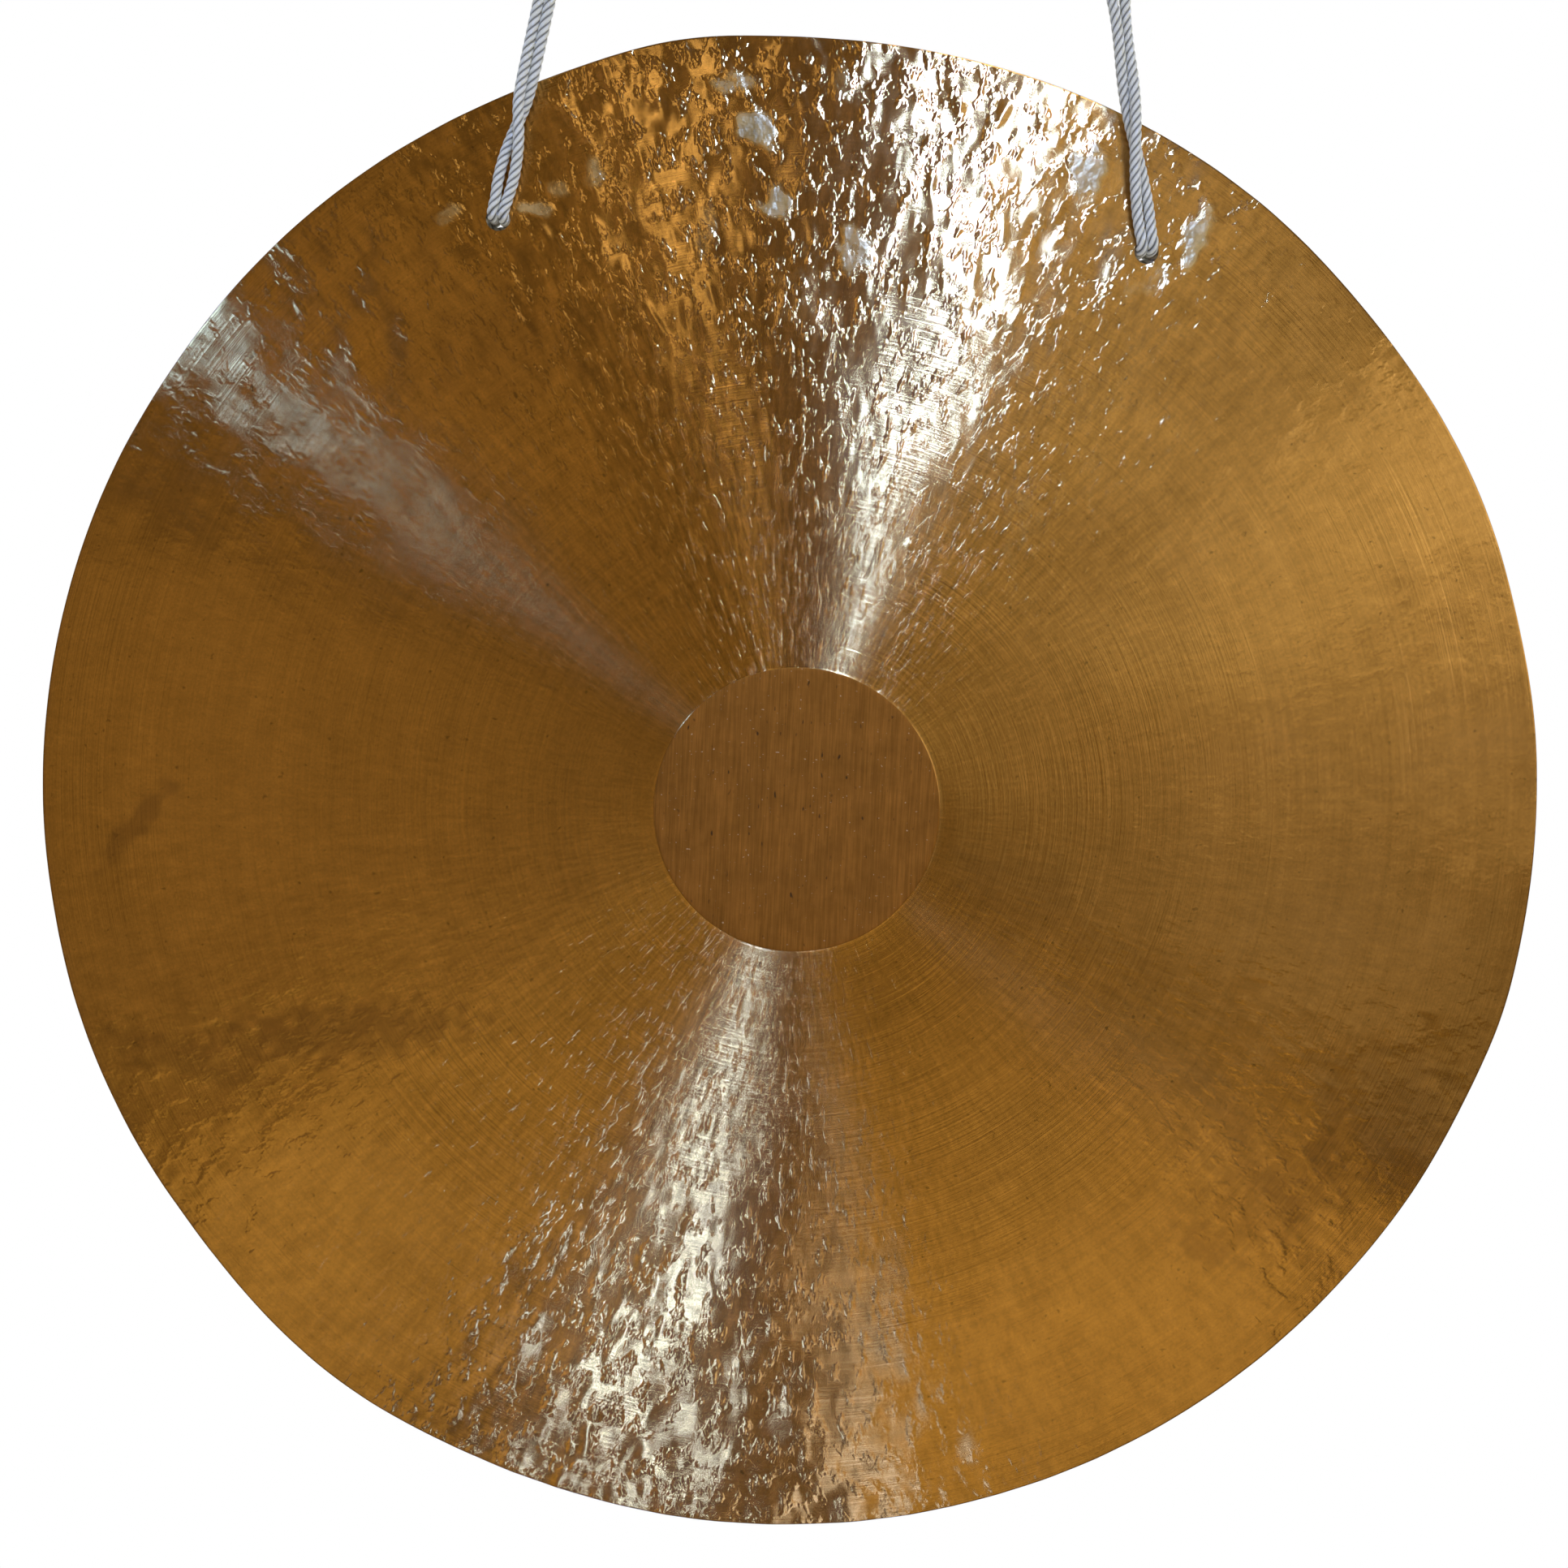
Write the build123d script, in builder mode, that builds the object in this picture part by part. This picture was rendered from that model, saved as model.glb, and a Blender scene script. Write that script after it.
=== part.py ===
from build123d import *
import os
from math import asin, degrees, pi

os.makedirs("parts", exist_ok=True)

# A wind gong: a flat, slightly dished bronze disc that hangs in two doubled cords from two S-hooks.
# X runs to the right through both cord holes, the front of the disc faces -Y, and Z is up.
# The origin lies midway between the seats of the two hooks, in the plane of the cords.

# Driving dimensions, in millimetres
gong_radius = 300.0
centre_thickness = 2.0
rim_thickness = 1.3
dish_depth = 12.1  # how far the rim stands behind the middle, which makes the disc hang plumb
rim_round = 0.45
boss_radius = 57.0  # the unturned circle in the middle of each face
boss_height = 0.3
boss_edge = 0.8  # the width of the slope around that circle

hole_radius = 4.8
hole_spread = 126.4  # from the middle of the gong out to each hole
hole_rise = 224.8  # from the middle of the gong up to each hole

cord_diameter = 4.5
strand_gap = 0.1
plate_gap = 0.25  # between the strands and the face of the disc at the holes
strand_drop = 0.3  # the strands pass through the hole this far below its middle
bend_radius = cord_diameter  # of the fold over the edge of the hole
hinge_rise = 2.5  # from the top of that fold up to the line that the disc tilts about
cup_clearance = 0.1

knot_radius = 8.2
knot_depth = 16.0
knot_rounding = 5.8
knot_front = 4.0  # from the plane of the cords back to the front of the knot
tail_behind = 11.5
tail_drop = 30.0
tail_splay = 1.6

hook_wire = 4.0
bow_radius = 9.0  # of the wire's centre line
bow_spacing = 23.0  # between the centres of the two bows of a hook
hook_spread = 106.1
tip_angle = 30.0  # how far each tip curls in past the widest point of its bow
wire_clearance = 0.1
gong_drop = 335.0  # from the wire that carries a cord down to the middle of the gong

# Heights and depths worked out from those
wire_radius = hook_wire / 2
cord_radius = cord_diameter / 2
upper_bow_z = wire_radius - bow_radius
lower_bow_z = upper_bow_z - bow_spacing
carrying_wire_z = lower_bow_z - bow_radius
gong_z = carrying_wire_z - gong_drop
hole_z = gong_z + hole_rise
strand_z = hole_z - strand_drop
hinge_z = strand_z + bend_radius + hinge_rise
strand_offset = (cord_diameter + strand_gap) / 2
bight_radius = wire_radius + cord_radius + wire_clearance
hole_reach = (hole_spread**2 + hole_rise**2) ** 0.5
front_y = cord_radius + plate_gap - dish_depth * (hole_reach / gong_radius) ** 3
crossing_angle = degrees(asin(2 * bow_radius / bow_spacing))
sides = {"left": -1, "right": 1}


def face_curve(centre_depth, rim_depth):
    """One face outside the boss: a cubic dish on an even taper from centre_depth to rim_depth."""
    inner = boss_radius / gong_radius
    controls = []
    for step in range(4):
        out = inner + (1 - inner) * step / 3
        taper = centre_depth + (rim_depth - centre_depth) * out
        controls.append((gong_radius * out, taper + dish_depth * inner ** (3 - step)))
    return Bezier(*controls)


def boss_line(depth, face):
    """The flat boss and the slope that meets the face around it."""
    return Polyline((0, depth), (boss_radius - boss_edge, depth), face @ 0)


def strand_top(fold, carrier, lean):
    """Where a strand drawn tight from its fold first touches its path round the wire."""
    reach = carrier - fold
    tilt = lean * degrees(asin(bight_radius / reach.length))
    run = (reach.length**2 - bight_radius**2) ** 0.5
    return fold + reach.rotate(Axis.Y, tilt).normalized() * run


def point_at_height(low, high, height):
    """The point at one height on the straight line between two others."""
    return low + (high - low) * ((height - low.Z) / (high.Z - low.Z))


def report_tube(name, tube, route, radii):
    """Prints the bends of a tube, and its volume beside its section times its length."""
    expected = pi * cord_radius**2 * route.length
    print(f"{name}: length {route.length:.1f}, radii {radii}, volume {tube.volume:.1f} of {expected:.1f}")


# The disc: one hammered and turned plate with its two cord holes
with BuildPart() as gong_disc:
    with BuildSketch(Plane(origin=(0, front_y, gong_z))):
        with BuildLine():
            front = face_curve(0, 0)
            back = face_curve(centre_thickness, rim_thickness)
            Line(front @ 1, back @ 1)
            front_boss = boss_line(-boss_height, front)
            back_boss = boss_line(centre_thickness + boss_height, back)
            Line(front_boss @ 0, back_boss @ 0)
        make_face()
    revolve(axis=Axis((0, 0, gong_z), (0, 1, 0)))
    rim_edges = gong_disc.edges().filter_by(GeomType.CIRCLE).group_by(SortBy.RADIUS)[-1]
    fillet(rim_edges, rim_round)
    with BuildSketch(Plane.XZ):
        with Locations((-hole_spread, hole_z), (hole_spread, hole_z)):
            Circle(hole_radius)
    extrude(amount=gong_radius, both=True, mode=Mode.SUBTRACT)
gong_disc.part.label = "gong_disc"
export_step(gong_disc.part, "parts/gong_disc.step")
print(f"gong_disc: centre of gravity {gong_disc.part.center().Y:.3f} mm behind the cords")

for name, side in sides.items():
    hole_x = side * hole_spread
    hook_x = side * hook_spread

    # The S-hook: two bows of round wire in the YZ plane, joined by a slanting run
    with BuildPart() as hook:
        with BuildLine(Plane.YZ.offset(hook_x)) as wire:
            turn = 180 + tip_angle + crossing_angle
            lower_bow = CenterArc((0, lower_bow_z), bow_radius, 180 - tip_angle, turn)
            upper_bow = CenterArc((0, upper_bow_z), bow_radius, 180 + crossing_angle, -turn)
            Line(lower_bow @ 1, upper_bow @ 0)
        with BuildSketch(Plane(origin=lower_bow @ 0, z_dir=lower_bow % 0)):
            Circle(wire_radius)
        sweep()
        with Locations(lower_bow @ 0, upper_bow @ 1):
            Sphere(wire_radius)
    hook.part.label = f"{name}_hook"
    export_step(hook.part, f"parts/{name}_hook.step")

    # The doubled cord in front of the disc: up one strand, round the wire and down the other.
    # Each strand folds over the edge of the hole, and its straight part ends at the tilt line.
    carrier = Vector(hook_x, 0, carrying_wire_z)
    folds = [Vector(hole_x + lean * strand_offset, 0, strand_z) for lean in (-1, 1)]
    tops = [strand_top(fold, carrier, lean) for fold, lean in zip(folds, (-1, 1))]
    ends = [point_at_height(fold, top, hinge_z) for fold, top in zip(folds, tops)]
    with BuildPart() as cord:
        with BuildLine() as route:
            Line(ends[0], tops[0])
            ThreePointArc(tops[0], carrier + Vector(0, 0, bight_radius), tops[1])
            Line(tops[1], ends[1])
        with BuildSketch(Plane(origin=ends[0], z_dir=tops[0] - ends[0])):
            Circle(cord_radius)
        report_tube(f"{name}_cord", sweep(), route.wire(), [bight_radius])
        with Locations(*ends):
            Sphere(cord_radius)
    cord.part.label = f"{name}_cord"
    export_step(cord.part, f"parts/{name}_cord.step")

    # The rest of the same cord: the fold, the way through the hole, the stopper knot and its tails
    with BuildPart() as knot:
        with BuildSketch(Plane.XZ.offset(-knot_front)):
            with Locations((hole_x, strand_z)):
                Circle(knot_radius)
        extrude(amount=-knot_depth)
        fillet(knot.edges().filter_by(GeomType.CIRCLE), knot_rounding)
        for lean, fold, end in zip((-1, 1), folds, ends):
            middle = Vector(fold.X, knot_front + knot_depth / 2, strand_z)
            tail = Vector(hole_x + lean * (strand_offset + tail_splay), tail_behind, strand_z - tail_drop)
            with BuildLine() as route:
                FilletPolyline(end, fold, middle, tail, radius=[bend_radius, bend_radius])
            with BuildSketch(Plane(origin=end, z_dir=fold - end)):
                Circle(cord_radius)
            report_tube(f"{name}_knot", sweep(), route.wire(), [bend_radius, bend_radius])
        with Locations(*ends):
            Sphere(cord_radius + cup_clearance, mode=Mode.SUBTRACT)
    knot.part.label = f"{name}_knot"
    export_step(knot.part, f"parts/{name}_knot.step")
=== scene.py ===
import math

import bpy
import numpy as np
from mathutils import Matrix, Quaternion, Vector


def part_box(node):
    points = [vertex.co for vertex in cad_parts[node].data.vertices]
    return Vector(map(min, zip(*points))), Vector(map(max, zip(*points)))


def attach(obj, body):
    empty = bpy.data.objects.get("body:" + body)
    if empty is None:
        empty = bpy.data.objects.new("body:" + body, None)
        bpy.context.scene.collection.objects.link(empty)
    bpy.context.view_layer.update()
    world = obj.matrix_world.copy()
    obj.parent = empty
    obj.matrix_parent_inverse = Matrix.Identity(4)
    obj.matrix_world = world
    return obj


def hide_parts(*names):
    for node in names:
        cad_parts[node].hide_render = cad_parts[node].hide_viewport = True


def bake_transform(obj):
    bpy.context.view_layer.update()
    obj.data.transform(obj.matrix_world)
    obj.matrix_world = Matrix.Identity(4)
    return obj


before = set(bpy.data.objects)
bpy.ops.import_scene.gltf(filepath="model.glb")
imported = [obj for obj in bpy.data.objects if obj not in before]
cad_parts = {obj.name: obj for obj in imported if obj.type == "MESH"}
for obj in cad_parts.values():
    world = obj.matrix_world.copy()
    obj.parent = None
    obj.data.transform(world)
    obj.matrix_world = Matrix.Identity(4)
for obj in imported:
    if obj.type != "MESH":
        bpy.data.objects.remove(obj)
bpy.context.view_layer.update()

MM = 0.001

# The disc's dish and thickness, which its nodes in the frame have too
GONG_RADIUS = 300 * MM
DISH_DEPTH = 12.1 * MM
CENTRE_THICKNESS = 2.0 * MM
RIM_THICKNESS = 1.3 * MM
BOSS_RADIUS = 57.0 * MM
BOSS_EDGE = 0.8 * MM
BOSS_HEIGHT = 0.3 * MM
HOLE_RADIUS = 4.8 * MM
HOLE_SPREAD = 126.4 * MM
HOLE_RISE = 224.8 * MM

# The cord and the wire that carries it
CORD_DIAMETER = 4.5 * MM
PLY_COUNT = 4
PLY_RADIUS = CORD_DIAMETER * 0.235
PLY_SIDES = 14
PLY_LAY = 13.6 * MM  # the length that a ply takes to go round once
ROPE_STEP = 0.55 * MM
HOOK_SPREAD = 106.1 * MM
CARRYING_WIRE_Z = -39.0 * MM
BIGHT_RADIUS = 4.35 * MM
STRAND_Z = -149.5 * MM
FIRST_WRAP_Y = 14.8 * MM
WRAP_PITCH = 8.8 * MM
BEND_LEAN = math.radians(50)  # a lean down from straight back; only the vector across below is made from it, and nothing reads that

# The disc's mesh, the camera and the floor
DISC_CELL = 1.5 * MM
VIEW_DISTANCE = 0.9
FLOOR_Z = -2.2
FLOOR_REACH = 2.5

disc_low, disc_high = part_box("gong_disc")
FACE_Y = disc_low.y + BOSS_HEIGHT
MIDDLE = Vector(((disc_low.x + disc_high.x) / 2, FACE_Y, (disc_low.z + disc_high.z) / 2))


# ---------------------------------------------------------------- camera


def place_camera():
    """A camera 0.9 m in front, a little to the left and above, and rolled as a hand-held one is."""
    azimuth, elevation, roll = math.radians(-2.0), math.radians(6.6), math.radians(2.7)
    data = bpy.data.cameras.new("camera")
    data.sensor_width = 36
    data.lens = 52.17
    data.clip_start = 0.01
    camera = bpy.data.objects.new("camera", data)
    bpy.context.scene.collection.objects.link(camera)
    level = math.cos(elevation)
    out = Vector((math.sin(azimuth) * level, -math.cos(azimuth) * level, math.sin(elevation)))
    aim = MIDDLE + Vector((-5.6, 0, 10.3)) * MM
    camera.location = MIDDLE + out * VIEW_DISTANCE
    look = (aim - camera.location).to_track_quat("-Z", "Y")
    camera.rotation_mode = "QUATERNION"
    camera.rotation_quaternion = look @ Quaternion((0, 0, 1), roll)
    bpy.context.scene.camera = camera
    return out


EYE = place_camera()


# ---------------------------------------------------------------- meshes and nodes


def new_mesh(name, points, faces, material):
    """A smooth-shaded mesh object in the scene."""
    mesh = bpy.data.meshes.new(name)
    mesh.from_pydata(points, [], faces)
    mesh.shade_smooth()
    mesh.materials.append(material)
    piece = bpy.data.objects.new(name, mesh)
    bpy.context.scene.collection.objects.link(piece)
    return piece


def new_material(name):
    """A node material, its node tree and its Principled shader."""
    material = bpy.data.materials.new(name)
    material.use_nodes = True
    return material, material.node_tree, material.node_tree.nodes["Principled BSDF"]


def add_node(tree, kind, inputs=(), **settings):
    """One node with its settings, its inputs set to values or linked from sockets."""
    node = tree.nodes.new(kind)
    for key, value in settings.items():
        setattr(node, key, value)
    for key, value in dict(inputs).items():
        if isinstance(value, bpy.types.NodeSocket):
            tree.links.new(value, node.inputs[key])
        else:
            node.inputs[key].default_value = value
    return node


def maths(tree, operation, *values):
    """The result of one Math node."""
    node = add_node(tree, "ShaderNodeMath", dict(enumerate(values)), operation=operation)
    return node.outputs[0]


def noise(tree, vector, scale, detail=2.0, roughness=0.5):
    """A noise between 0 and 1 over vector."""
    inputs = {"Vector": vector, "Scale": scale, "Detail": detail, "Roughness": roughness}
    return add_node(tree, "ShaderNodeTexNoise", inputs).outputs["Fac"]


def between(tree, value, low, high, to_low=0.0, to_high=1.0):
    """value mapped from low..high to to_low..to_high, and held at the ends."""
    inputs = {"Value": value, "From Min": low, "From Max": high, "To Min": to_low, "To Max": to_high}
    return add_node(tree, "ShaderNodeMapRange", inputs).outputs[0]


def mixed(tree, share, first, second, blend_type="MIX"):
    """Two colours mixed."""
    inputs = {0: share, 6: first, 7: second}
    return add_node(tree, "ShaderNodeMix", inputs, data_type="RGBA", blend_type=blend_type).outputs[2]


def scaled(tree, vector, factors):
    """vector with its X, Y and Z multiplied by three factors."""
    return add_node(tree, "ShaderNodeVectorMath", {0: vector, 1: factors}, operation="MULTIPLY").outputs[0]


def multiplied(tree, first, *others):
    """The product of several values."""
    for value in others:
        first = maths(tree, "MULTIPLY", first, value)
    return first


# ---------------------------------------------------------------- cords


def smooth_line(points):
    """The line of the NURBS spline that has these points as its control points."""
    curve = bpy.data.curves.new("route", "CURVE")
    curve.dimensions = "3D"
    curve.resolution_u = 12
    spline = curve.splines.new("NURBS")
    spline.points.add(len(points) - 1)
    for place, point in zip(spline.points, points):
        place.co = (*point, 1)
    spline.order_u = 3
    spline.use_endpoint_u = True
    holder = bpy.data.objects.new("route", curve)
    bpy.context.scene.collection.objects.link(holder)
    bpy.context.view_layer.update()
    mesh = bpy.data.meshes.new_from_object(holder)
    line = np.array([vertex.co for vertex in mesh.vertices])
    bpy.data.objects.remove(holder)
    bpy.data.curves.remove(curve)
    return line


def resample(line, spacing):
    """The same line with its points evenly spaced, and the distance of each from the start."""
    steps = np.linalg.norm(np.diff(line, axis=0), axis=1)
    run = np.concatenate([[0], np.cumsum(steps)])
    keep = np.concatenate([[True], steps > 1e-9])
    marks = np.linspace(0, run[-1], int(run[-1] / spacing) + 2)
    return np.stack([np.interp(marks, run[keep], line[keep, k]) for k in range(3)], axis=1), marks


def turning_frames(line):
    """Unit vectors across the line that don't spin about it: one pair for each point."""
    tangents = np.gradient(line, axis=0)
    tangents /= np.linalg.norm(tangents, axis=1)[:, None]
    across = np.zeros_like(line)
    start = np.cross(tangents[0], (1.0, 0.0, 0.0))
    across[0] = start / np.linalg.norm(start)
    for k in range(1, len(line)):
        carried = across[k - 1] - tangents[k] * np.dot(across[k - 1], tangents[k])
        across[k] = carried / np.linalg.norm(carried)
    return across, np.cross(tangents, across)


def ply_tube(centre, outward, run, radius, sides):
    """Points, faces and UVs of one ply. V is 0 along its outer side, and U is run."""
    tangents = np.gradient(centre, axis=0)
    tangents /= np.linalg.norm(tangents, axis=1)[:, None]
    up = outward - tangents * np.sum(outward * tangents, axis=1)[:, None]
    up /= np.linalg.norm(up, axis=1)[:, None]
    beside = np.cross(tangents, up)
    turn = 2 * math.pi * np.arange(sides) / sides
    rings = np.cos(turn)[None, :, None] * up[:, None, :] + np.sin(turn)[None, :, None] * beside[:, None, :]
    points = (centre[:, None, :] + radius * rings).reshape(-1, 3)
    faces, uvs = [], []
    for k in range(len(centre) - 1):
        low, high = run[k], run[k + 1]
        for j in range(sides):
            a, b = k * sides + j, k * sides + (j + 1) % sides
            faces.append((a, b, b + sides, a + sides))
            left, right = j / sides, (j + 1) / sides
            uvs += [(low, left), (low, right), (high, right), (high, left)]
    for k, order in ((0, -1), (len(centre) - 1, 1)):
        faces.append(tuple(k * sides + j for j in range(sides))[::order])
        uvs += [(run[k], 0.5)] * sides
    return points, faces, uvs


def rope(name, line, material):
    """Plies laid round a line in a right-hand twist. Gives the piece, the line and its length."""
    line, run = resample(line, ROPE_STEP)
    across, beside = turning_frames(line)
    points, faces, uvs = [], [], []
    for ply in range(PLY_COUNT):
        turn = 2 * math.pi * (run / PLY_LAY + ply / PLY_COUNT)
        outward = np.cos(turn)[:, None] * across + np.sin(turn)[:, None] * beside
        centre = line + outward * (CORD_DIAMETER / 2 - PLY_RADIUS)
        tube, sides, marks = ply_tube(centre, outward, run / CORD_DIAMETER, PLY_RADIUS, PLY_SIDES)
        first = sum(len(block) for block in points)
        points.append(tube)
        faces += [tuple(first + k for k in face) for face in sides]
        uvs += marks
    piece = new_mesh(name, np.concatenate(points).tolist(), faces, material)
    layer = piece.data.uv_layers.new(name="ply")
    layer.data.foreach_set("uv", np.array(uvs, dtype=np.float32).ravel())
    return piece, line, run[-1]


def strand_pair(side, turns):
    """Control points of both front strands, from the hinge up to the hook.
    turns is a list of (height above the hole, turn of the pair in degrees, half its width), in mm."""
    low = np.array([side * HOLE_SPREAD, 0, STRAND_Z])
    high = np.array([side * HOOK_SPREAD, 0, CARRYING_WIRE_Z])
    first, second = [], []
    for height, turn, spread in turns:
        share = height * MM / (high[2] - low[2])
        middle = low + (high - low) * share
        offset = np.array([math.cos(math.radians(turn)), math.sin(math.radians(turn)), 0]) * spread * MM
        first.append(middle + offset)
        second.append(middle - offset)
    return first, second


def bight(side, start):
    """Control points over the hook's wire, from the side of it that start names to the other."""
    middle = np.array([side * HOOK_SPREAD, 0, CARRYING_WIRE_Z])
    corners = [(1, -0.9), (1, 0.42), (0.42, 1), (-0.42, 1), (-1, 0.42), (-1, -0.9)]
    return [middle + BIGHT_RADIUS * np.array([start * x, 0, z]) for x, z in corners]


def fold_points(side, lean, rise):
    """Control points of one strand from the knot forward through the hole and up to the hinge,
    rise above the height at which the strands pass the hole."""
    x = side * HOLE_SPREAD + lean * 2.05 * MM
    z = STRAND_Z + rise
    return [
        np.array([x, 13.0 * MM, z]),
        np.array([x, 7.0 * MM, z]),
        np.array([x, 2.4 * MM, z]),
        np.array([x, 0.1 * MM, z + 2.4 * MM]),
    ]


def wraps(side, start_turn, turn_count):
    """Control points of a strand that folds back outside the knot and wraps round it."""
    middle = np.array([side * HOLE_SPREAD, 0, STRAND_Z + 0.6 * MM])
    wide, high, step = 6.6, 4.75, 40
    facing = math.copysign(1, math.cos(math.radians(start_turn)))
    points = [
        middle + np.array([facing * 2.6, 19.0, 0.2]) * MM,
        middle + np.array([facing * 6.4, 18.6, facing * 0.4]) * MM,
    ]
    for k in range(int(turn_count * 360 / step) + 1):
        turn = math.radians(start_turn + 20 + k * step)
        y = FIRST_WRAP_Y - WRAP_PITCH * k * step / 360
        points.append(middle + np.array([wide * math.cos(turn) * MM, y, high * math.sin(turn) * MM]))
    return points


LEFT_TURNS = [
    (7, 180, 2.2), (14, 178, 3.0), (22, 166, 2.9), (29, 142, 2.5), (34, 115, 2.2), (39, 82, 2.2),
    (44, 50, 2.2), (50, 26, 2.15), (58, 8, 2.15), (70, 0, 2.15), (82, 0, 2.15), (92, 0, 2.4), (99, 0, 3.5),
]
RIGHT_TURNS = [
    (7, 0, 2.2), (16, 10, 2.5), (26, 32, 2.3), (34, 58, 2.2), (42, 90, 2.2), (50, 122, 2.2),
    (58, 150, 2.2), (67, 180, 2.2), (76, 205, 2.2), (86, 205, 2.2), (94, 192, 2.5), (100, 180, 3.6),
]


def cord_route(side, turns):
    """Control points of one whole cord: tail, knot, hole, up, over the hook, down, hole, knot, tail."""
    first, second = strand_pair(side, turns)
    lean = math.copysign(1, math.cos(math.radians(turns[0][1])))
    over = math.copysign(1, math.cos(math.radians(turns[-1][1])))
    middle = np.array([side * HOLE_SPREAD, 0, STRAND_Z])
    halves = []
    for strand, foot in ((first, lean), (second, -lean)):
        start_turn = 180 if foot < 0 else 0
        count = 1.0 if foot < 0 else 0.5
        wrapped = wraps(side, start_turn, count)
        tail_y = wrapped[-1][1] / MM
        if foot < 0:
            tail = [(-6.4, tail_y + 0.2, -7), (-5.4, tail_y + 1.0, -18), (-5.9, tail_y + 1.6, -30)]
        else:
            tail = [(-6.9, tail_y + 0.3, -7), (-8.6, tail_y + 0.8, -16), (-9.4, tail_y + 0.4, -26)]
        tail = [middle + np.array(point) * MM for point in tail]
        inside = fold_points(side, foot, (0.3 if foot * side < 0 else 0.9) * MM)
        halves.append(tail[::-1] + wrapped[::-1] + inside + strand)
    return halves[0] + bight(side, over) + halves[1][::-1]


def cord_material():
    """Pale laid cord: fine yarns along each ply, with painted shade between the yarns and in the grooves
    between plies.
    """
    material, tree, shader = new_material("cord")
    ply = add_node(tree, "ShaderNodeUVMap", uv_map="ply").outputs[0]
    parts = add_node(tree, "ShaderNodeSeparateXYZ", {0: ply}).outputs
    from_outside = maths(tree, "PINGPONG", parts[1], 0.5)
    # Painted shade: the colour darkens in the grooves between plies, where shade falls.
    groove_shade = between(tree, from_outside, 0.08, 0.23)
    yarn_turn = maths(tree, "MULTIPLY_ADD", parts[1], 14.0, maths(tree, "MULTIPLY", parts[0], 3.2))
    yarn = maths(tree, "PINGPONG", yarn_turn, 0.5)
    place = add_node(tree, "ShaderNodeTexCoord").outputs["Object"]
    fuzz = noise(tree, place, 1400.0, 3.0, 0.7)
    cord_tone = mixed(tree, between(tree, fuzz, 0.35, 0.7), (0.68, 0.69, 0.63, 1), (0.80, 0.81, 0.75, 1))
    # Painted shade: the colour darkens along the lines between the yarns.
    yarn_shade = mixed(tree, between(tree, yarn, 0.0, 0.22, 0.45, 0.0), cord_tone, (0.27, 0.275, 0.25, 1))
    tree.links.new(mixed(tree, groove_shade, yarn_shade, (0.07, 0.07, 0.06, 1)), shader.inputs["Base Color"])
    height = maths(tree, "ADD", between(tree, yarn, 0.0, 0.4), maths(tree, "MULTIPLY", fuzz, 0.6))
    bump = add_node(tree, "ShaderNodeBump", {"Strength": 0.8, "Distance": 0.00012, "Height": height})
    tree.links.new(bump.outputs[0], shader.inputs["Normal"])
    shader.inputs["Roughness"].default_value = 0.85
    shader.inputs["Specular IOR Level"].default_value = 0.3
    return material


CORD = cord_material()
for side, name, turns in ((-1, "left", LEFT_TURNS), (1, "right", RIGHT_TURNS)):
    piece, path, length = rope(f"{name}_rope", smooth_line(cord_route(side, turns)), CORD)
    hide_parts(f"{name}_cord", f"{name}_knot")
    across = Vector((0, math.cos(BEND_LEAN), -math.sin(BEND_LEAN)))
    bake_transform(piece)


# ---------------------------------------------------------------- disc


def disc_grid():
    """Points and faces of one side of the disc, in rings whose number of points doubles outward.
    Gives the radius and angle of each point, its triangles and its four-sided faces."""
    inside = np.linspace(1.3, 54.9, 41)
    edge = BOSS_RADIUS / MM - BOSS_EDGE / MM * np.array([1.0, 0.72, 0.44, 0.2, 0.0])
    outside = np.linspace(58.2, 299.1, 176)
    rim = np.array([299.55, 299.87, 300.0])
    rings = np.concatenate([inside, edge, outside, rim]) * MM
    counts = [6 * 2 ** max(0, math.ceil(math.log2(r / DISC_CELL))) for r in rings]
    radius, angle, triangles, quads = [np.zeros(1)], [np.zeros(1)], [], []
    start, inner, before = 1, 0, 1
    for ring, count in zip(rings, counts):
        radius.append(np.full(count, ring))
        angle.append(2 * math.pi * np.arange(count) / count)
        j = np.arange(count)
        if before == 1:
            triangles.append(np.stack([0 * j, start + j, start + (j + 1) % count], axis=1))
        elif before == count:
            after = (j + 1) % count
            quads.append(np.stack([inner + j, start + j, start + after, inner + after], axis=1))
        else:
            j = np.arange(before)
            a, b = inner + j, inner + (j + 1) % before
            c, d, e = start + 2 * j, start + 2 * j + 1, start + (2 * j + 2) % count
            triangles += [np.stack(three, axis=1) for three in ((a, c, d), (a, d, b), (b, d, e))]
        inner, before = start, count
        start += count
    return np.concatenate(radius), np.concatenate(angle), np.concatenate(triangles), np.concatenate(quads)


def waves(x, z, low, high, count, seed):
    """A random rolling surface of height about 1, made of waves from low to high long."""
    dice = np.random.default_rng(seed)
    total = np.zeros_like(x)
    for _ in range(count):
        size = dice.uniform(low, high)
        turn, shift = dice.uniform(0, 2 * math.pi, 2)
        total += np.cos(2 * math.pi * (x * math.cos(turn) + z * math.sin(turn)) / size + shift)
    return total * math.sqrt(2 / count)


def smoothstep(low, high, value):
    """0 up to low, 1 from high on, and a smooth rise between."""
    t = np.clip((value - low) / (high - low), 0, 1)
    return t * t * (3 - 2 * t)


# Where the outline leaves the circle: (angle from +X towards +Z in degrees, how far out, half-width)
RIM_FAULTS = [
    (233.9, 1.9, 9), (101.4, 2.6, 7), (345.9, 1.3, 6), (42.9, -1.3, 9),
    (16.9, -1.0, 7), (216.4, -0.65, 6), (146.9, -0.65, 7),
]

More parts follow.
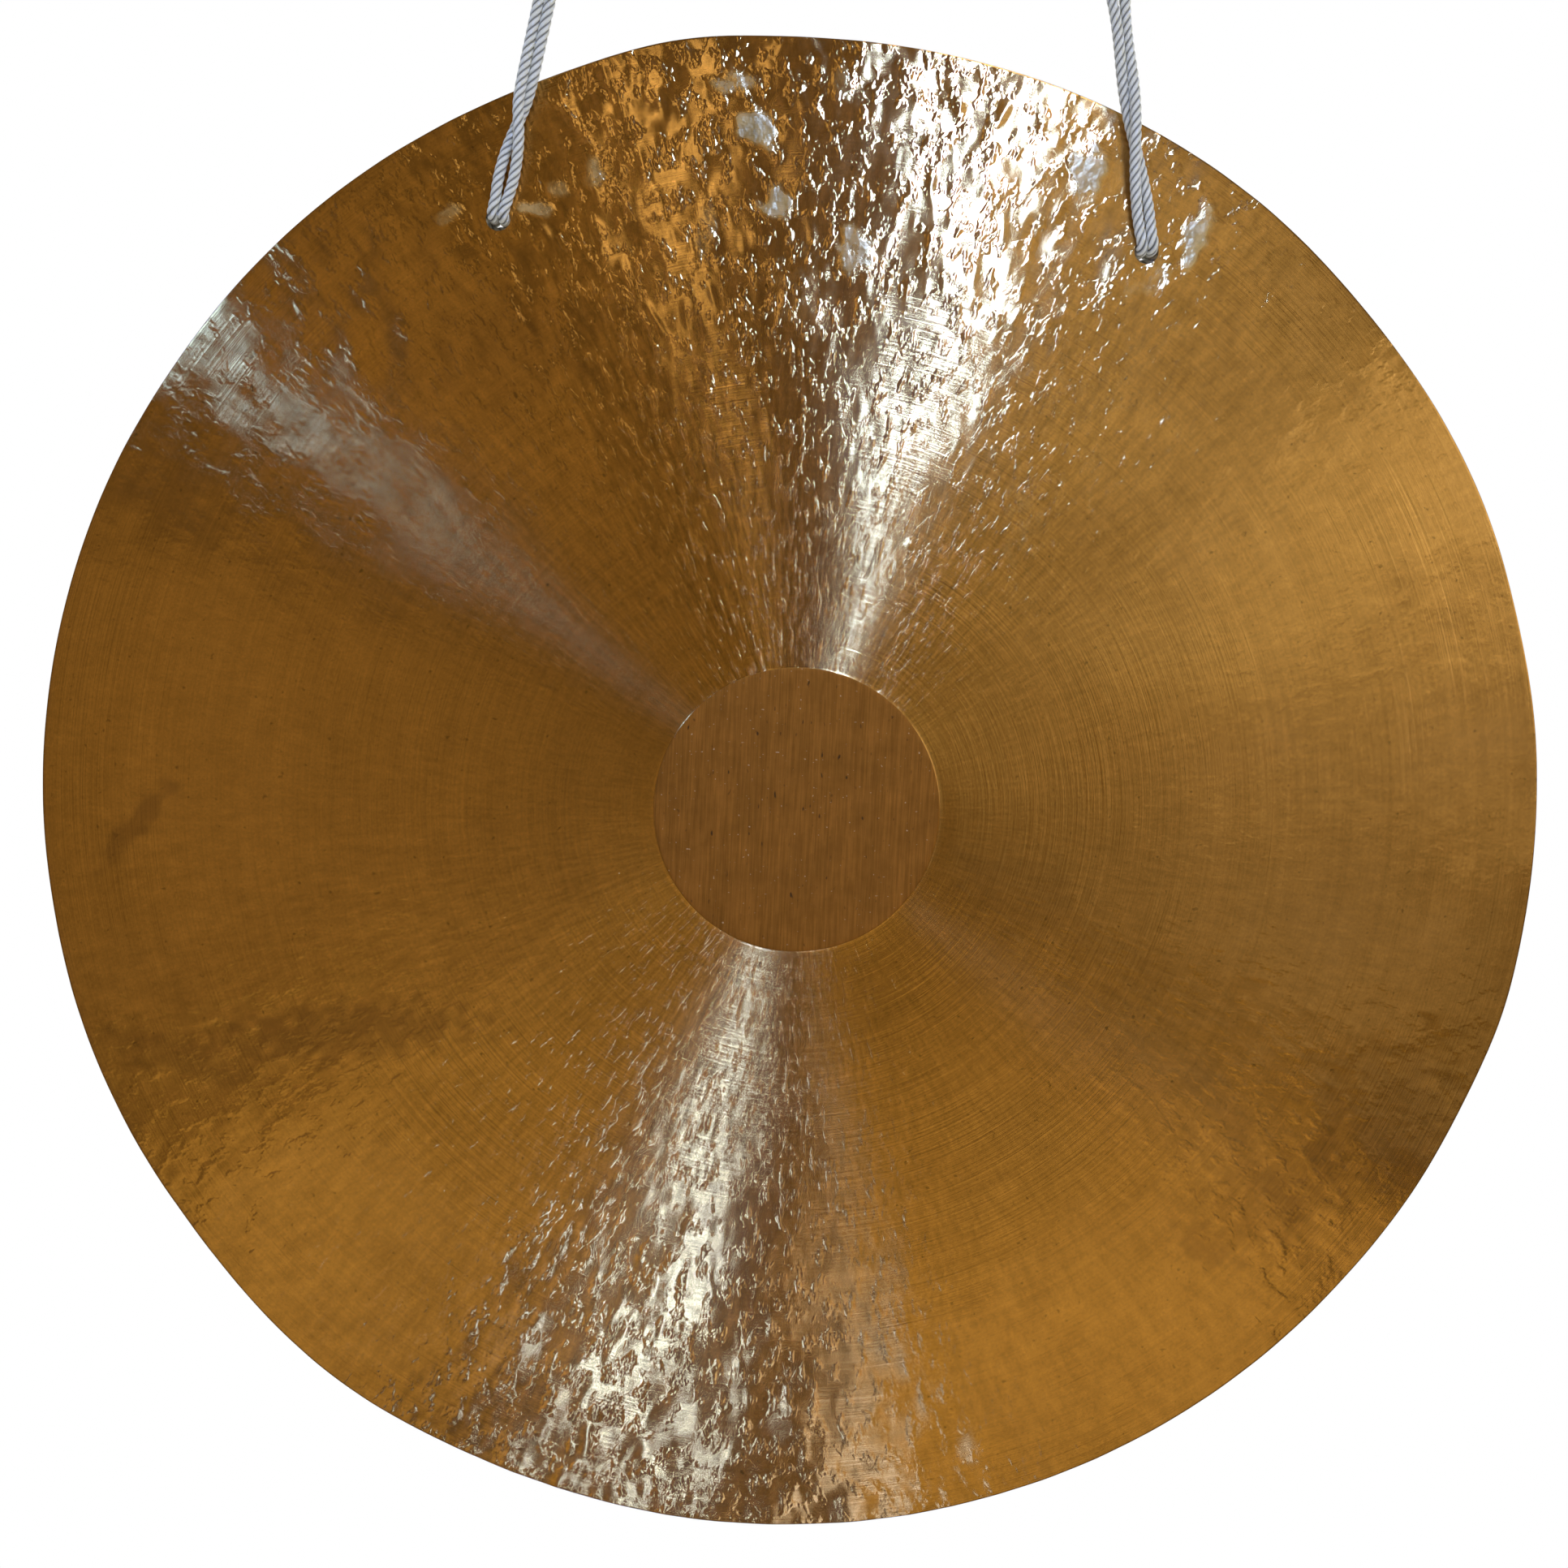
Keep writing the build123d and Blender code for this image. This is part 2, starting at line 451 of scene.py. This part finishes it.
# Low spots that the lathe never reached:
# (x and z from the middle in mm, length, width, lean in degrees, strength)
LOW_SPOTS = [
    (-38, 281, 16, 9, 10, 0.7), (-28, 264, 17, 12, -25, 1.0), (-19, 236, 13, 11, 60, 0.9),
    (12, 219, 19, 13, 80, 0.7), (-104, 237, 9, 8, 0, 0.6), (-90, 244, 7, 13, 0, 0.6),
    (-146, 225, 10, 7, 20, 0.5), (146, 232, 26, 9, 70, 0.9), (102, 254, 15, 21, 0, 0.8),
    (82, 118, 15, 36, 0, 0.22), (-112, 229, 11, 6, 0, 0.7), (128, 214, 20, 12, 30, 0.35),
    (4, 283, 7, 16, 0, 0.4), (-46, 222, 9, 26, 0, 0.35), (-8, 205, 20, 30, 0, 0.22),
]

# Darker tarnish, given in the same way
STAINS = [
    (-176, -98, 96, 22, 8, 0.55), (-238, -112, 60, 16, -12, 0.4), (-262, -18, 44, 9, 50, 0.45),
    (206, -150, 66, 34, 40, 0.4), (252, -118, 50, 60, 20, 0.3), (176, -174, 30, 11, -30, 0.4),
    (-120, 176, 60, 44, 30, 0.25), (92, -30, 60, 26, -20, 0.2), (-10, -182, 50, 60, 0, 0.25),
]


def spot_mask(x, z, table, ragged):
    """1 inside each spot of the table and 0 outside, with an edge as ragged as asked."""
    ragged = ragged * waves(x, z, 6 * MM, 16 * MM, 24, 31)
    mask = np.zeros_like(x)
    for px, pz, length, width, lean, strength in table:
        c, s = math.cos(math.radians(lean)), math.sin(math.radians(lean))
        u, v = x / MM - px, z / MM - pz
        away = np.hypot((u * c + v * s) / (length / 2), (v * c - u * s) / (width / 2))
        mask = np.maximum(mask, strength * (1 - smoothstep(0.6, 1.35, away + ragged)))
    return mask


def fluting(radius, angle, count, seed):
    """A random surface of height about 1 whose folds run outward and widen towards the rim."""
    dice = np.random.default_rng(seed)
    total = np.zeros_like(radius)
    for _ in range(count):
        around = dice.integers(80, 230) * dice.choice((-1, 1))
        outward = 2 * math.pi / (dice.uniform(12, 60) * MM)
        total += np.cos(around * angle + outward * radius + dice.uniform(0, 2 * math.pi))
    return total * math.sqrt(2 / count)


# How strongly each part of the face is hammered: (degrees clockwise from the top, strength)
HAMMERING = [
    (0, 0.85), (12, 0.8), (30, 0.85), (45, 0.6), (60, 0.32), (80, 0.28), (100, 0.4),
    (120, 0.45), (140, 0.4), (165, 0.5), (180, 0.55), (200, 0.95), (215, 0.55), (235, 0.6),
    (250, 0.5), (288, 0.2), (300, 0.45), (315, 0.5), (328, 0.75), (345, 1.1),
]

# The same for the wider hammer blows near the rim
PATCHES = [
    (0, 0.75), (40, 0.65), (60, 0.2), (95, 0.2), (130, 0.4),
    (200, 0.6), (240, 0.3), (285, 0.1), (305, 1), (325, 0.8),
]


def by_clock(angle, table):
    """A table's value at each angle, the table going clockwise from the top."""
    return np.interp((90 - np.degrees(angle)) % 360, *zip(*table), period=360)


def hammered(radius, angle):
    """Height of the hammering on the face, towards the viewer."""
    x, z = radius * np.cos(angle), radius * np.sin(angle)
    share = radius / GONG_RADIUS
    beyond = smoothstep(BOSS_RADIUS, BOSS_RADIUS * 1.12, radius)
    strength = by_clock(angle, HAMMERING)
    patchy = by_clock(angle, PATCHES)
    folds = np.maximum(fluting(radius, angle, 140, 1) - 0.6, 0) * 0.066 * MM * share
    small = waves(x, z, 7 * MM, 14 * MM, 50, 5) * 0.016 * MM * (0.4 + 0.6 * share)
    wide = waves(x, z, 18 * MM, 34 * MM, 40, 2) * 0.10 * MM * smoothstep(0.35, 0.95, share)
    rough_rim = waves(x, z, 4 * MM, 8 * MM, 50, 4) * 0.018 * MM * smoothstep(0.86, 0.96, share)
    rolling = waves(x, z, 60 * MM, 120 * MM, 30, 3) * 0.18 * MM
    return beyond * (strength * (folds + small + rough_rim) + wide * (0.25 + 0.75 * patchy) + rolling)


def pimples(x, z):
    """Small raised points left by the casting."""
    dice = np.random.default_rng(8)
    height = np.zeros_like(x)
    for _ in range(46):
        far, turn = GONG_RADIUS * dice.uniform(0.25, 0.95), dice.uniform(0, 2 * math.pi)
        size = dice.uniform(0.9, 1.6) * MM
        px, pz = far * math.cos(turn), far * math.sin(turn)
        near = np.hypot(x - px, z - pz) < 3 * size
        away = np.hypot(x[near] - px, z[near] - pz) / size
        height[near] += 0.16 * MM * dice.uniform(0.4, 1) * np.exp(-away * away)
    return height


def out_of_round(angle):
    """How much further out the outline is than the circle at each angle."""
    total = np.zeros_like(angle)
    for place, far, width in RIM_FAULTS:
        away = (np.degrees(angle) - place + 180) % 360 - 180
        total += far * MM * np.exp(-((away / width) ** 2))
    return total


def gong_mesh():
    """Both hammered faces of the disc, its rim and its two holes, about its own middle."""
    radius, angle, triangles, quads = disc_grid()
    count = len(radius)
    share = np.clip(radius / GONG_RADIUS, 0, 1)
    rim_ring = radius > GONG_RADIUS - 0.01 * MM
    round_over = np.where(rim_ring, 0.5, np.where(radius > GONG_RADIUS - 0.2 * MM, 0.16, 0.0)) * MM
    x, z = radius * np.cos(angle), radius * np.sin(angle)
    dish = DISH_DEPTH * share**3 - hammered(radius, angle)
    thickness = CENTRE_THICKNESS + (RIM_THICKNESS - CENTRE_THICKNESS) * share
    boss = BOSS_HEIGHT * (1 - smoothstep(BOSS_RADIUS - BOSS_EDGE, BOSS_RADIUS, radius))
    front = dish - boss - pimples(x, z) + round_over
    back = dish + thickness + boss - round_over
    grow = 1 + out_of_round(angle) / GONG_RADIUS * smoothstep(0.72, 1.0, share)
    x, z = x * grow, z * grow

    holes = [(side * HOLE_SPREAD, HOLE_RISE) for side in (-1, 1)]
    walls = []
    for hx, hz in holes:
        kept = []
        edge_of_gap = set()
        for block in (triangles, quads):
            inside = np.hypot(x[block].mean(axis=1) - hx, z[block].mean(axis=1) - hz) < HOLE_RADIUS
            edge_of_gap |= set(block[inside].ravel().tolist())
            kept.append(block[~inside])
        triangles, quads = kept
        used = set(np.unique(quads).tolist()) | set(np.unique(triangles).tolist())
        ring = np.array(sorted(edge_of_gap & used))
        turn = np.arctan2(z[ring] - hz, x[ring] - hx)
        ring = ring[np.argsort(turn)]
        turn = np.sort(turn)
        x[ring], z[ring] = hx + HOLE_RADIUS * np.cos(turn), hz + HOLE_RADIUS * np.sin(turn)
        walls.append(ring)

    points = np.concatenate([np.stack([x, front, z], axis=1), np.stack([x, back, z], axis=1)])
    rim = np.flatnonzero(rim_ring)
    after = np.roll(rim, -1)
    sides = [np.stack([rim, rim + count, after + count, after], axis=1)]
    for ring in walls:
        first = len(points)
        edge = len(ring)
        points = np.concatenate([points, points[ring], points[ring + count]])
        j = np.arange(edge)
        k = (j + 1) % edge
        sides.append(np.stack([first + j, first + k, first + edge + k, first + edge + j], axis=1))
    triangles = np.concatenate([triangles, triangles[:, ::-1] + count])
    quads = np.concatenate([quads, quads[:, ::-1] + count] + sides)
    return points, triangles, quads


def big_mesh(name, points, triangles, quads):
    """An object from arrays of points and faces."""
    loops = np.concatenate([triangles.ravel(), quads.ravel()])
    starts = np.concatenate(
        [np.arange(len(triangles)) * 3, len(triangles) * 3 + np.arange(len(quads)) * 4]
    )
    mesh = bpy.data.meshes.new(name)
    mesh.vertices.add(len(points))
    mesh.vertices.foreach_set("co", points.astype(np.float32).ravel())
    mesh.loops.add(len(loops))
    mesh.loops.foreach_set("vertex_index", loops.astype(np.int32))
    mesh.polygons.add(len(starts))
    mesh.polygons.foreach_set("loop_start", starts.astype(np.int32))
    mesh.update(calc_edges=True)
    mesh.validate()
    mesh.shade_smooth()
    piece = bpy.data.objects.new(name, mesh)
    bpy.context.scene.collection.objects.link(piece)
    return piece


def joined(tree, x, y, z):
    """One vector from three numbers."""
    return add_node(tree, "ShaderNodeCombineXYZ", {0: x, 1: y, 2: z}).outputs[0]


def ring_space(tree, place):
    """The part of place across the disc's axis, its length, and its direction's X and Z."""
    flat = scaled(tree, place, (1, 0, 1))
    far = add_node(tree, "ShaderNodeVectorMath", {0: flat}, operation="LENGTH").outputs["Value"]
    out = add_node(tree, "ShaderNodeVectorMath", {0: flat}, operation="NORMALIZE").outputs[0]
    parts = add_node(tree, "ShaderNodeSeparateXYZ", {0: out}).outputs
    return flat, far, parts[0], parts[2]


def ring_vector(tree, far, x, z, outward, around):
    """A vector for noise in the disc's rings: outward and around say how fast it changes."""
    return scaled(tree, joined(tree, x, far, z), (around, outward, around))


def bronze_material():
    """Lathe-turned bronze: light stretches out along the radius, across the turning marks."""
    material, tree, shader = new_material("bronze")
    place = add_node(tree, "ShaderNodeTexCoord").outputs["Object"]
    flat, far, x, z = ring_space(tree, place)
    to_world = {"vector_type": "VECTOR", "convert_from": "OBJECT", "convert_to": "WORLD"}
    along = add_node(tree, "ShaderNodeVectorTransform", {0: flat}, **to_world).outputs[0]
    spots = add_node(tree, "ShaderNodeAttribute", attribute_name="spot").outputs["Fac"]
    dents = add_node(tree, "ShaderNodeAttribute", attribute_name="dents").outputs["Fac"]
    stains = add_node(tree, "ShaderNodeAttribute", attribute_name="stain").outputs["Fac"]

    # Relief in mm: turning marks that fade in and out, and narrow dents that widen towards the rim
    rings = noise(tree, ring_vector(tree, far, x, z, 620.0, 1.6), 1.0, 3.0, 0.7)
    faint = noise(tree, place, 14.0, 2.0)
    turned = multiplied(tree, rings, between(tree, faint, 0.35, 0.7, 0.05, 0.24))
    narrow = noise(tree, ring_vector(tree, far, x, z, 130.0, 46.0), 1.0, 2.5, 0.55)
    crowded = maths(tree, "MULTIPLY_ADD", far, 0.18, narrow)
    depth = maths(tree, "MULTIPLY_ADD", far, 0.45, 0.06)
    dented = multiplied(tree, between(tree, crowded, 0.56, 0.79), dents, depth)
    uneven = multiplied(tree, spots, noise(tree, place, 230.0, 2.0), 0.5)
    height = maths(tree, "ADD", maths(tree, "ADD", turned, dented), uneven)
    bump = add_node(tree, "ShaderNodeBump", {"Strength": 1.0, "Distance": 0.001, "Height": height})

    # Colour: clouds of tarnish, arcs left by the lathe, painted shade and light in rays along the dents,
    # tiny dark specks
    clouds = between(tree, noise(tree, place, 9.0, 3.0), 0.3, 0.7, 0.92, 1.07)
    mottle = between(tree, noise(tree, place, 70.0, 4.0, 0.7), 0.3, 0.7, 0.95, 1.05)
    # Painted shade and light: lighter and darker rays along the dents stand in for how the hammered dents
    # catch the light.
    ray_noise = noise(tree, ring_vector(tree, far, x, z, 75.0, 55.0), 1.0, 3.0, 0.6)
    dent_shade_rays = maths(tree, "MULTIPLY_ADD", between(tree, ray_noise, 0.3, 0.7, -0.24, 0.21), dents, 1.0)
    grain = between(tree, noise(tree, place, 900.0, 2.0, 0.7), 0.3, 0.7, 0.93, 1.06)
    arc_noise = noise(tree, ring_vector(tree, far, x, z, 240.0, 1.5), 1.0, 4.0, 0.75)
    arcs = between(tree, arc_noise, 0.3, 0.7, 0.92, 1.07)
    specks = between(tree, noise(tree, place, 380.0, 1.0), 0.72, 0.80, 1.0, 0.70)
    shade = multiplied(tree, clouds, mottle, dent_shade_rays, grain, arcs, specks)
    metal = mixed(tree, 1.0, (0.80, 0.465, 0.14, 1), shade, "MULTIPLY")
    stained = mixed(tree, stains, metal, (0.42, 0.235, 0.085, 1))
    worn = noise(tree, place, 150.0, 3.0, 0.7)
    reached = maths(tree, "MULTIPLY_ADD", spots, 0.6, worn)
    spots = multiplied(tree, spots, between(tree, reached, 0.55, 0.95))
    cloudy = between(tree, worn, 0.3, 0.7, 0.72, 1.28)
    pale = mixed(tree, 1.0, (0.52, 0.40, 0.18, 1), multiplied(tree, cloudy, dent_shade_rays, grain), "MULTIPLY")
    colour = mixed(tree, spots, stained, pale)
    tree.links.new(colour, shader.inputs["Base Color"])
    tree.links.new(between(tree, spots, 0, 1, 0.21, 0.32), shader.inputs["Roughness"])
    tree.links.new(between(tree, spots, 0, 1, 1.0, 0.4), shader.inputs["Anisotropic"])
    tree.links.new(along, shader.inputs["Tangent"])
    tree.links.new(bump.outputs[0], shader.inputs["Normal"])
    tree.links.new(between(tree, spots, 0, 1, 1.0, 0.6), shader.inputs["Metallic"])
    return material


def boss_material():
    """The unpolished middle: dull brown metal with scratches down it, pits and bright specks."""
    material, tree, shader = new_material("boss")
    place = add_node(tree, "ShaderNodeTexCoord").outputs["Object"]
    scratches = noise(tree, scaled(tree, place, (1, 1, 0.035)), 1500.0, 2.0, 0.6)
    grain = noise(tree, place, 700.0, 3.0, 0.65)
    clouds = noise(tree, place, 85.0, 5.0, 0.65)
    pitting = noise(tree, scaled(tree, place, (1, 1, 0.4)), 620.0, 1.0)
    pits = between(tree, pitting, 0.70, 0.80, 0.0, 0.8)
    bright = between(tree, noise(tree, place, 900.0, 0.0), 0.80, 0.86, 0.0, 1.0)
    scratched = between(tree, scratches, 0.3, 0.7, 0.8, 1.2)
    tone = multiplied(tree, scratched, between(tree, clouds, 0.3, 0.7, 0.85, 1.15))
    brown = mixed(tree, 1.0, (0.44, 0.185, 0.024, 1), tone, "MULTIPLY")
    worn = mixed(tree, pits, brown, (0.05, 0.03, 0.015, 1))
    tree.links.new(mixed(tree, bright, worn, (0.75, 0.55, 0.25, 1)), shader.inputs["Base Color"])
    height = maths(tree, "ADD", scratches, maths(tree, "MULTIPLY", grain, 0.6))
    bump = add_node(tree, "ShaderNodeBump", {"Strength": 0.6, "Distance": 0.00008, "Height": height})
    tree.links.new(bump.outputs[0], shader.inputs["Normal"])
    shader.inputs["Metallic"].default_value = 0.96
    shader.inputs["Roughness"].default_value = 0.6
    return material


gong = big_mesh("gong", *gong_mesh())
gong.location = MIDDLE
bpy.context.view_layer.update()
points = np.empty(len(gong.data.vertices) * 3, dtype=np.float32)
gong.data.vertices.foreach_get("co", points)
across, up = points.reshape(-1, 3)[:, [0, 2]].astype(float).T
for name, values in (
    ("spot", spot_mask(across, up, LOW_SPOTS, 0.16)),
    ("stain", spot_mask(across, up, STAINS, 0.22)),
    ("dents", by_clock(np.arctan2(up, across), HAMMERING)),
):
    attribute = gong.data.attributes.new(name, "FLOAT", "POINT")
    attribute.data.foreach_set("value", values.astype(np.float32))
gong.data.materials.append(bronze_material())
gong.data.materials.append(boss_material())
centres = np.empty(len(gong.data.polygons) * 3, dtype=np.float32)
gong.data.polygons.foreach_get("center", centres)
centres = centres.reshape(-1, 3)
on_boss = np.hypot(centres[:, 0], centres[:, 2]) < BOSS_RADIUS - 0.5 * BOSS_EDGE
gong.data.polygons.foreach_set("material_index", on_boss.astype(np.int32))
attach(gong, "gong")
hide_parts("gong_disc")


def steel_material():
    """Zinc-plated wire: dull, a little blotchy, with fine drawing marks."""
    material, tree, shader = new_material("steel")
    place = add_node(tree, "ShaderNodeTexCoord").outputs["Object"]
    blotches = noise(tree, place, 260.0, 3.0, 0.6)
    marks = noise(tree, scaled(tree, place, (1, 1, 0.08)), 2600.0)
    tone = mixed(tree, between(tree, blotches, 0.35, 0.65), (0.52, 0.53, 0.54, 1), (0.68, 0.69, 0.70, 1))
    tree.links.new(tone, shader.inputs["Base Color"])
    tree.links.new(between(tree, blotches, 0.3, 0.7, 0.30, 0.48), shader.inputs["Roughness"])
    bump = add_node(tree, "ShaderNodeBump", {"Strength": 0.5, "Distance": 0.00003, "Height": marks})
    tree.links.new(bump.outputs[0], shader.inputs["Normal"])
    shader.inputs["Metallic"].default_value = 1
    return material


STEEL = steel_material()
for name in ("left_hook", "right_hook"):
    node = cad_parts[name]
    node.data.materials.clear()
    node.data.materials.append(STEEL)


# ---------------------------------------------------------------- stage and light


def area_light(name, place, target, size, power, colour, spread=180, roll=0):
    """A soft light panel at place that faces target. The camera doesn't see the panel itself."""
    data = bpy.data.lights.new(name, "AREA")
    data.shape = "RECTANGLE"
    data.size, data.size_y = size
    data.energy = power
    data.color = colour
    data.spread = math.radians(spread)
    light = bpy.data.objects.new(name, data)
    bpy.context.scene.collection.objects.link(light)
    light.location = place
    light.rotation_mode = "QUATERNION"
    facing = (target - place).to_track_quat("-Z", "Y")
    light.rotation_quaternion = facing @ Quaternion((0, 0, 1), math.radians(roll))
    light.visible_camera = False


def streak_light(name, clock, reach, distance, size, power, colour, spread=180):
    """A panel that the turned face draws out into a streak through its middle. clock is the streak's
    angle clockwise from the top, and reach how far off the panel is along it."""
    turn = math.radians(clock)
    x = reach * math.sin(turn) - EYE.x
    z = reach * math.cos(turn) - EYE.z
    toward = Vector((x, -math.sqrt(1 - x * x - z * z), z))
    area_light(name, MIDDLE + toward * distance, MIDDLE, size, power, colour, spread, -clock)


streak_light("key", 13.4, 0.60, 2.0, (0.05, 0.5), 0.25, (0.51, 0.94, 2.8), 40)
streak_light("top", 13.4, 1.05, 1.8, (0.12, 0.9), 5, (1.0, 0.96, 0.85))
streak_light("low_key", 192.4, 0.40, 1.8, (0.03, 0.5), 0.042, (0.54, 0.95, 2.6), 40)
streak_light("window", 306.5, 0.90, 2.0, (0.13, 0.5), 0.14, (0.33, 0.74, 2.35), 40)
streak_light("doorway", 171.5, 0.66, 1.8, (0.14, 0.3), 0.031, (0.62, 0.82, 1.7), 40)
streak_light("lamp", 346.0, 0.60, 2.0, (0.10, 0.5), 0.020, (1.0, 0.84, 0.6), 40)
streak_light("upper_right", 46.0, 0.50, 1.8, (0.85, 0.8), 1.0, (1.0, 0.94, 0.74))
streak_light("sheen", 66.0, 0.93, 1.8, (1.0, 1.2), 4, (1.0, 0.94, 0.85))
streak_light("east", 95.0, 0.45, 1.8, (0.50, 0.8), 0.30, (1.0, 0.93, 0.8))
streak_light("low_left", 224.0, 0.52, 1.8, (0.58, 0.8), 0.53, (1.0, 0.78, 0.35))
streak_light("low_right", 146.0, 0.50, 1.8, (0.76, 0.8), 0.92, (1.0, 0.78, 0.36))
streak_light("west", 270.0, 0.45, 1.8, (0.73, 0.8), 0.30, (1.0, 0.70, 0.32))
streak_light("upper_left", 322.0, 0.50, 1.8, (0.30, 0.8), 0.12, (1.0, 0.68, 0.28))
area_light("behind", MIDDLE + Vector((-1.0, 1.5, 0.86)), MIDDLE, (1.4, 1.4), 4, (1.0, 0.90, 0.7))
area_light("behind_low", MIDDLE + Vector((1.4, 1.5, -0.2)), MIDDLE, (1.4, 1.3), 3.6, (1.0, 0.93, 0.8))


def set_world():
    """White behind the object, pale light on matt surfaces, and a dim warm room for metal to reflect."""
    world = bpy.data.worlds.new("world")
    bpy.context.scene.world = world
    world.use_nodes = True
    tree = world.node_tree
    dent_shade_rays = add_node(tree, "ShaderNodeLightPath").outputs
    room = mixed(tree, dent_shade_rays["Is Diffuse Ray"], (0.126, 0.087, 0.041, 1), (0.62, 0.62, 0.60, 1))
    seen = mixed(tree, dent_shade_rays["Is Camera Ray"], room, (1, 1, 1, 1))
    tree.links.new(seen, tree.nodes["Background"].inputs[0])


set_world()
bpy.context.scene.view_settings.view_transform = "Standard"


def floor_material():
    """Pale matt floor with a very faint grain."""
    material, tree, shader = new_material("floor")
    place = add_node(tree, "ShaderNodeTexCoord").outputs["Object"]
    grain = between(tree, noise(tree, place, 30.0, 3.0), 0.3, 0.7)
    tone = mixed(tree, grain, (0.88, 0.88, 0.87, 1), (0.92, 0.92, 0.91, 1))
    tree.links.new(tone, shader.inputs["Base Color"])
    shader.inputs["Roughness"].default_value = 0.9
    return material


floor = new_mesh(
    "floor",
    [(x * FLOOR_REACH, y * FLOOR_REACH, FLOOR_Z) for x, y in ((-1, -1), (1, -1), (1, 1), (-1, 1))],
    [(0, 1, 2, 3)],
    floor_material(),
)
floor.visible_glossy = False
